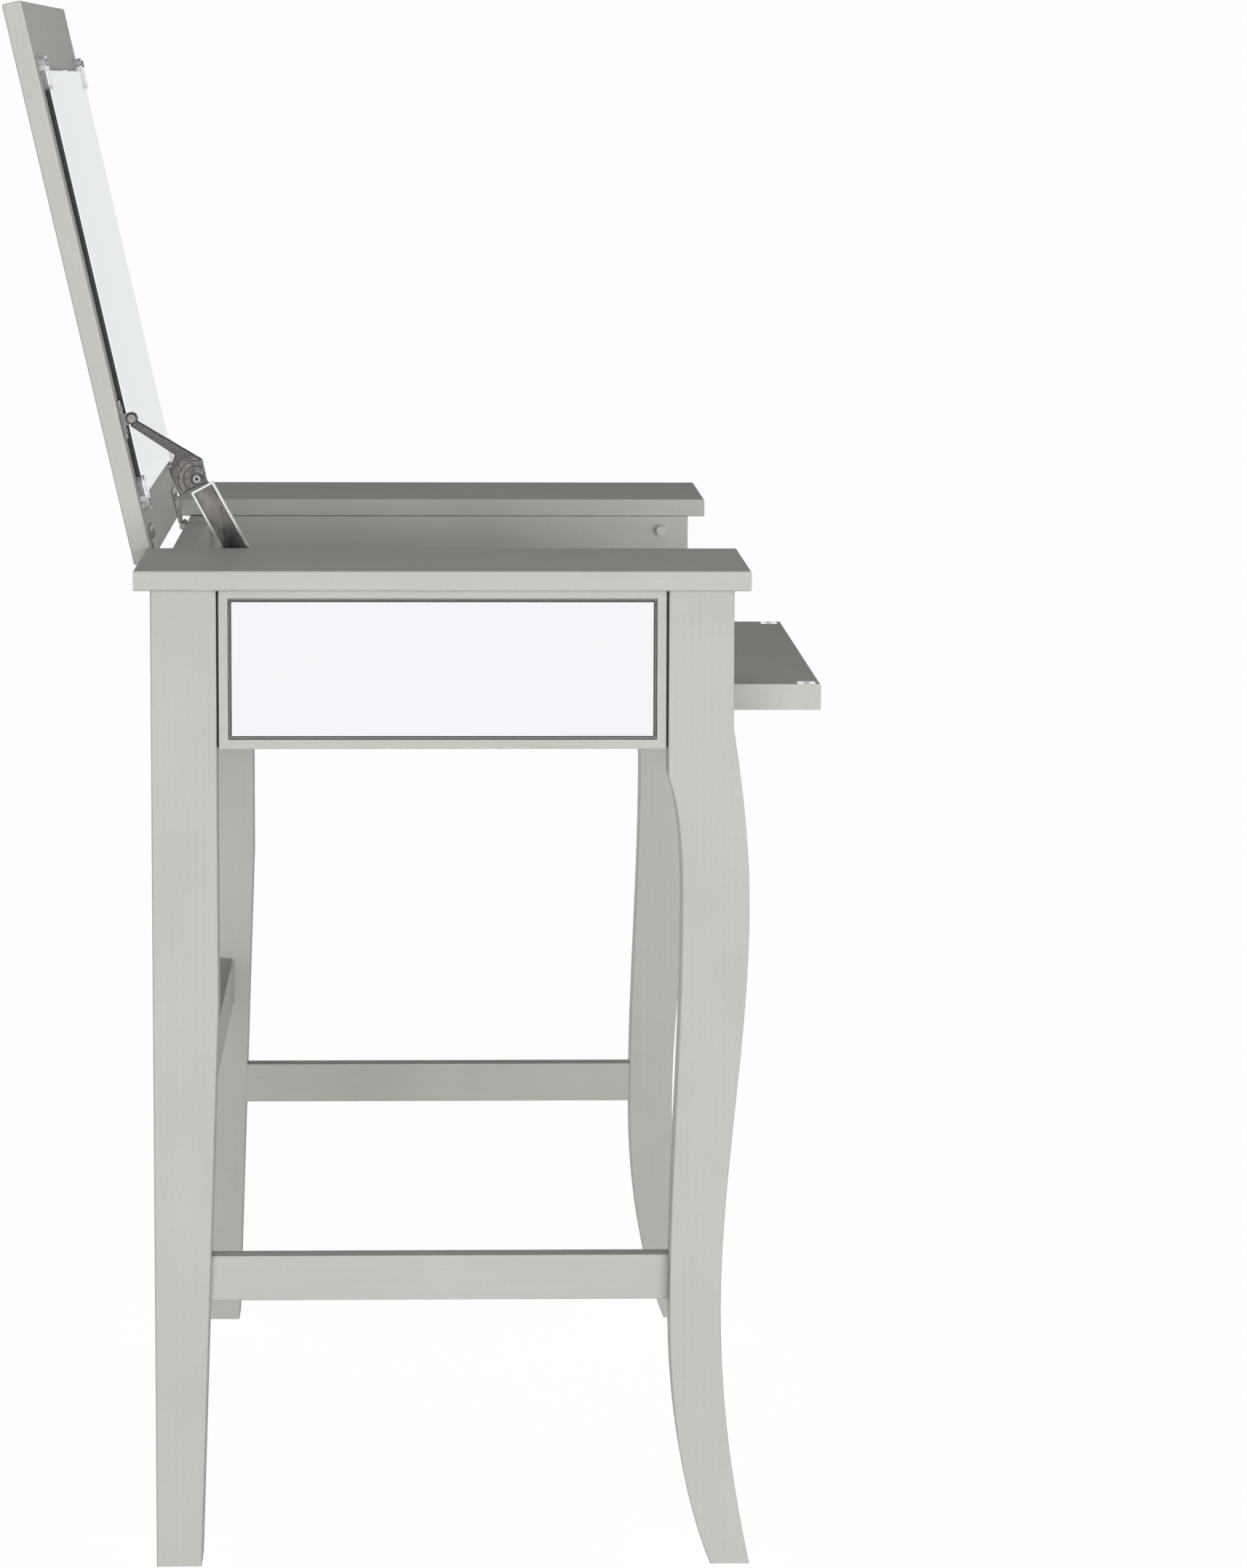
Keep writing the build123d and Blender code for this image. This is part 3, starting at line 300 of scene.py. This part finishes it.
def cast_metal(boss, reach):
    """A dark plated casting: a pitted skin, and a blotchy boss of the reach given, whose corners are
    lighter, partly wear and partly a painted highlight, and whose grooves are darkened with painted shade.
    """
    shader = Shader("dark_casting")
    pits = shader.noise(CASTING_PIT, 5, 0.65)
    lumps = shader.noise(CASTING_LUMP, 3)
    blotches = shader.span(shader.noise(CASTING_BLOTCH, 5, 0.65), 0.44, 0.58)
    away = shader.node("ShaderNodeVectorMath", operation="DISTANCE")
    shader.put(away.inputs[0], shader.place)
    shader.put(away.inputs[1], boss)
    on_boss = shader.span(away.outputs["Value"], 0.88 * reach, 1.05 * reach, 1.0, 0.0)
    corner = shader.times(shader.edges(CASTING_WEAR_AND_HIGHLIGHT, 0.72, 0.99), shader.span(lumps, 0.3, 0.5))
    brown = shader.times(on_boss, shader.times(blotches, 0.8))
    # Painted highlight, partly wear: the corners of the boss lighter.
    worn_and_highlit_corners = shader.times(corner, shader.times(on_boss, 0.85))
    # Painted shade: the grooves between the rings darkened.
    painted_groove_shade = shader.times(shader.crevice_shade(CASTING_CREVICE, 0.5, 0.95), 0.85)
    colour = shader.mix(shader.span(pits, 0.35, 0.75), CASTING, CASTING_LIGHT)
    colour = shader.mix(brown, colour, CASTING_BROWN)
    colour = shader.mix(worn_and_highlit_corners, colour, STEEL_BRIGHT)
    colour = shader.mix(painted_groove_shade, colour, GAP_SHADE)
    normal = shader.bump(lumps, 0.0008, 0.7)
    normal = shader.bump(pits, 0.00028, 0.8, normal)
    return shader.finish(colour, shader.span(pits, 0.3, 0.7, 0.30, 0.55), normal, metallic=0.85)


def pine(axis):
    """Bare softwood with growth rings along one axis."""
    shader = Shader(f"bare_pine_{axis}")
    rings = shader.noise(1.0, 6, 0.55, shader.stretch(along(axis, *PINE_RING)))
    fibre = shader.noise(1.0, 3, 0.6, shader.stretch(along(axis, *PINE_FIBRE)))
    tone = shader.weigh((rings, 0.7), (fibre, 0.3))
    colour = shader.mix(shader.span(tone, 0.35, 0.65), PINE, PINE_DARK)
    return shader.finish(colour, shader.span(fibre, 0.3, 0.7, 0.62, 0.82), shader.bump(fibre, 0.00015, 0.6))


def peg_plastic():
    """Pale moulded plastic with a fine texture."""
    shader = Shader("peg_plastic")
    skin = shader.noise(PEG_SKIN, 3)
    tint = shader.noise(PEG_TINT, 2)
    colour = shader.mix(shader.span(tint, 0.3, 0.7), PEG_PLASTIC, PEG_PLASTIC_DARK)
    return shader.finish(colour, shader.span(skin, 0.3, 0.7, 0.38, 0.55), shader.bump(skin, 0.00004, 0.4))


elbow_low, elbow_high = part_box("stay_elbow_pin")
ELBOW = (elbow_low + elbow_high) / 2
PAINTS = {axis: silver_paint(axis) for axis in AXES}
MIRROR = mirror_silver()
EDGE = glass_edge()
ZINC = steel("zinc_steel", ZINC_DARK, STEEL, 0.34)
BRIGHT_STEEL = steel("bright_steel", STEEL, STEEL_BRIGHT, 0.28)
POLISHED = steel("polished_nickel", NICKEL_DULL, NICKEL, 0.06, "x")
SCREW = steel("screw_steel", SCREW_DARK, SCREW_LIGHT, 0.32, streak=0.0004)
# The channel's large light mottling is partly stains and partly a painted highlight.
DARK_STEEL = steel("dark_steel", CHANNEL_DARK, CHANNEL_STAIN_AND_SHEEN, 0.2, mottle_size=0.022)
CLEAR = clear_plastic()
CAST = cast_metal(ELBOW, ELBOW_BOSS_REACH)
BARE_WOOD = pine("y")
PLASTIC = peg_plastic()


def dress(name, *materials):
    """Puts materials on a CAD node, the first of them on every face, and returns its faces."""
    data = nodes[name].data
    data.materials.clear()
    for material in materials:
        data.materials.append(material)
    return data.polygons


def mirror_node(name, facing):
    """Silvers the faces of a pane that look the way given, and leaves the rest as cut glass."""
    direction = Vector(facing).normalized()
    for face in dress(name, EDGE, MIRROR):
        face.material_index = 1 if face.normal.dot(direction) > 0.6 else 0


def channel_metal(name):
    """Dark plating on a pressed channel, with the cut rims of its flanges bright."""
    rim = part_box(name)[0].x
    for face in dress(name, DARK_STEEL, POLISHED):
        face.material_index = 1 if face.normal.x < -0.9 and face.center.x < rim + CHANNEL_RIM_DEPTH else 0


def rivet_metal(name):
    """Worn steel on a rivet, with its dimple given the dark casting colour as painted shade."""
    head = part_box(name)[0].x
    for face in dress(name, BRIGHT_STEEL, CAST):
        aside = math.hypot(face.center.y - ELBOW.y, face.center.z - ELBOW.z)
        # Painted shade: the faces sunk in the dimple take the dark casting material.
        shaded_dimple = face.center.x > head + RIVET_DIMPLE_START and aside < RIVET_DIMPLE_RADIUS
        face.material_index = 1 if shaded_dimple else 0


def soften(name, width):
    """A small round on the sharp corners of a CAD node."""
    weld = nodes[name].modifiers.new("weld", "WELD")
    weld.merge_threshold = WELD_DISTANCE
    bevel = nodes[name].modifiers.new("corners", "BEVEL")
    bevel.width = width
    bevel.segments = 2
    bevel.limit_method = "ANGLE"
    bevel.angle_limit = SHARP_ANGLE
    bevel.harden_normals = True


# Each painted piece with the axis that its grain runs along.
WOOD = {
    "rear_stretcher": "x",
    "rear_apron": "x",
    "well_floor": "x",
    "front_rail": "x",
    "lid_panel": "x",
    "drop_front_panel": "x",
}
for side, sign in (("left", -1), ("right", 1)):
    WOOD[f"leg_front_{side}"] = "z"
    WOOD[f"leg_back_{side}"] = "z"
    WOOD[f"side_apron_{side}"] = "y"
    WOOD[f"side_stretcher_{side}"] = "y"
    WOOD[f"partition_{side}"] = "y"
    WOOD[f"front_panel_{side}"] = "x"
    WOOD[f"side_top_{side}"] = "y"
    mirror_node(f"side_mirror_{side}", (sign, 0, 0))
    mirror_node(f"front_mirror_{side}", (0, -1, 0))
    dress(f"top_cleats_{side}", BARE_WOOD)
    dress(f"top_screws_{side}", SCREW)
for name, axis in WOOD.items():
    dress(name, PAINTS[axis])
    soften(name, WOOD_ROUND)

# The lid leans back, so its mirror looks the way of its largest face on the user's side.
lid_faces = nodes["lid_mirror"].data.polygons
lid_normal = max(lid_faces, key=lambda face: face.area * (face.normal.y < 0)).normal
mirror_node("lid_mirror", lid_normal)
mirror_node("drop_front_mirror", (0, 0, -1))
for name in ("lid_hinge_fixed_leaves", "lid_hinge_lid_leaves", "drop_front_pins",
             "stay_wall_bracket", "stay_lid_bracket", "stay_lid_pin"):
    dress(name, ZINC)
for name in ("lid_hinge_fixed_screws", "lid_hinge_lid_screws", "stay_lid_bracket_screws",
             "mirror_clip_screws", "strike_screws"):
    dress(name, SCREW)
dress("strike_plates", POLISHED)
dress("mirror_clips", CLEAR)
dress("catch_pegs", PLASTIC)
dress("stay_upper_arm", CAST)
channel_metal("stay_lower_arm")
rivet_metal("stay_elbow_pin")


def stage_material(name, tint, glow):
    """Matt studio paper with an even glow of its own, in which shadows hardly show."""
    shader = Shader(name)
    fibre = shader.noise(PAPER_FIBRE, 4)
    colour = shader.mix(shader.span(fibre, 0.3, 0.7), tint, [PAPER_SHADE * c for c in tint])
    shader.finish(colour, shader.span(fibre, 0.3, 0.7, 0.85, 0.95), shader.bump(fibre, 0.0002, 0.1))
    shader.surface.inputs["Emission Color"].default_value = WHITE
    shader.surface.inputs["Emission Strength"].default_value = glow
    shader.surface.inputs["Specular IOR Level"].default_value = 0
    return shader.material


def circle(shape, radius, height):
    """A ring of vertices round the z axis, each at the height for its turn."""
    ring = []
    for k in range(STAGE_TURNS):
        turn = math.tau * k / STAGE_TURNS
        ring.append(shape.verts.new((radius * math.cos(turn), radius * math.sin(turn), height(turn))))
    return ring


def paper_object(name, shape, material):
    """A sheet of studio paper that throws neither diffuse light nor a shadow on the table."""
    mesh = bpy.data.meshes.new(name)
    shape.to_mesh(mesh)
    shape.free()
    mesh.materials.append(material)
    made = bpy.data.objects.new(name, mesh)
    scene.collection.objects.link(made)
    made.visible_diffuse = False
    made.visible_shadow = False
    return made


def round_sheet(name, rings, material):
    """A sheet of studio paper through rings of (radius, height), the first of which is a point."""
    shape = bmesh.new()
    last = [shape.verts.new((0, 0, rings[0][1]))]
    for radius, height in rings[1:]:
        ring = circle(shape, radius, lambda turn: height)
        for k in range(STAGE_TURNS):
            after = (k + 1) % STAGE_TURNS
            if len(last) == 1:
                shape.faces.new((last[0], ring[k], ring[after]))
            else:
                shape.faces.new((last[k], ring[k], ring[after], last[after]))
        last = ring
    return paper_object(name, shape, material)


def paper_band(name, radius, height, front_height, material):
    """A band of studio paper all round, taller in front of the table, which only mirrors see."""
    def top_height(turn):
        in_front = max(0, -math.sin(turn)) ** BAND_FRONT_FALL
        return height + (front_height - height) * in_front

    shape = bmesh.new()
    low = circle(shape, radius, lambda turn: 0)
    top = circle(shape, radius, top_height)
    for k in range(STAGE_TURNS):
        after = (k + 1) % STAGE_TURNS
        shape.faces.new((low[k], low[after], top[after], top[k]))
    made = paper_object(name, shape, material)
    made.visible_camera = False
    return made


def soft_light(name, place, target, size, power):
    """A soft rectangular lamp that neither the camera nor a mirror sees."""
    data = bpy.data.lights.new(name, "AREA")
    data.shape = "RECTANGLE"
    data.size, data.size_y = size
    data.energy = power
    made = bpy.data.objects.new(name, data)
    scene.collection.objects.link(made)
    made.location = place
    made.rotation_euler = (Vector(target) - Vector(place)).to_track_quat("-Z", "Y").to_euler()
    made.visible_glossy = False
    made.visible_camera = False
    return made


def leave_unlit(things, lights):
    """Keeps the lights off the studio paper, so that it is as bright everywhere."""
    group = bpy.data.collections.new("unlit")
    for thing in things:
        group.objects.link(thing)
    for member in group.collection_objects:
        member.light_linking.link_state = "EXCLUDE"
    for light in lights:
        light.light_linking.receiver_collection = group


def studio_sky(horizon, zenith):
    """Soft light from all round that fades towards the ceiling, and as much towards the floor."""
    world = bpy.data.worlds.new("studio")
    world.use_nodes = True
    tree = world.node_tree
    direction = tree.nodes.new("ShaderNodeTexCoord").outputs["Generated"]
    parts = tree.nodes.new("ShaderNodeSeparateXYZ")
    tree.links.new(direction, parts.inputs[0])
    height = tree.nodes.new("ShaderNodeMath")
    height.operation = "ABSOLUTE"
    tree.links.new(parts.outputs["Z"], height.inputs[0])
    fade = tree.nodes.new("ShaderNodeMapRange")
    fade.interpolation_type = "SMOOTHSTEP"
    tree.links.new(height.outputs["Value"], fade.inputs["Value"])
    fade.inputs["From Min"].default_value = SKY_FADE[0]
    fade.inputs["From Max"].default_value = SKY_FADE[1]
    fade.inputs["To Min"].default_value = horizon
    fade.inputs["To Max"].default_value = zenith
    tree.links.new(fade.outputs["Result"], tree.nodes["Background"].inputs["Strength"])
    tree.nodes["Background"].inputs["Color"].default_value = WHITE
    return world


# Rings close together in the middle of the floor, where the table stands.
floor_rings = [(STAGE_REACH * (k / STAGE_RINGS) ** 2, 0) for k in range(STAGE_RINGS + 1)]
dome_turns = [k / STAGE_RINGS * math.pi / 2 for k in range(STAGE_RINGS + 1)]
dome_rings = [(STAGE_REACH * math.sin(turn), STAGE_REACH * math.cos(turn)) for turn in dome_turns]
floor_paper = stage_material("floor_paper", FLOOR_TINT, FLOOR_GLOW)
dome_paper = stage_material("dome_paper", BACKDROP_TINT, DOME_GLOW)
band_paper = stage_material("band_paper", BACKDROP_TINT, BAND_GLOW)
floor = round_sheet("studio_floor", floor_rings, floor_paper)
dome = round_sheet("studio_dome", dome_rings, dome_paper)
dome.visible_glossy = False
band = paper_band("studio_band", BAND_REACH, BAND_HEIGHT, BAND_FRONT_HEIGHT, band_paper)
paper = (floor, dome, band)
key = soft_light("key", (-7.0, -0.5, 0.65), TABLE_MIDDLE, (4.0, 1.9), 322)
overhead = soft_light("overhead", (-0.9, -0.3, 2.3), TOP_MIDDLE, (1.7, 0.9), 5)
front = soft_light("front", (-1.0, -5.0, 0.9), TABLE_MIDDLE, (3.0, 1.5), 22)
back = soft_light("back", (6.0, 5.0, 0.9), TABLE_MIDDLE, (4.0, 1.5), 260)
leave_unlit(paper, (key, overhead, front, back))
scene.world = studio_sky(SKY_HORIZON, SKY_ZENITH)

# The camera looks along its yaw and down by its pitch, and leans by its roll.
forward = Vector((
    math.cos(CAMERA_PITCH) * math.cos(CAMERA_YAW),
    math.cos(CAMERA_PITCH) * math.sin(CAMERA_YAW),
    -math.sin(CAMERA_PITCH),
))
level_right = forward.cross(Vector((0, 0, 1))).normalized()
level_up = level_right.cross(forward)
right = level_right * math.cos(CAMERA_ROLL) + level_up * math.sin(CAMERA_ROLL)
up = right.cross(forward)
camera_data = bpy.data.cameras.new("camera")
camera_data.sensor_width = CAMERA_SENSOR
camera_data.lens = CAMERA_LENS
camera_data.clip_end = CAMERA_SEES_TO
camera = bpy.data.objects.new("camera", camera_data)
scene.collection.objects.link(camera)
camera.rotation_mode = "QUATERNION"
camera.location = CAMERA_PLACE
camera.rotation_quaternion = Matrix((right, up, -forward)).transposed().to_quaternion()
scene.camera = camera
scene.view_settings.view_transform = "Standard"
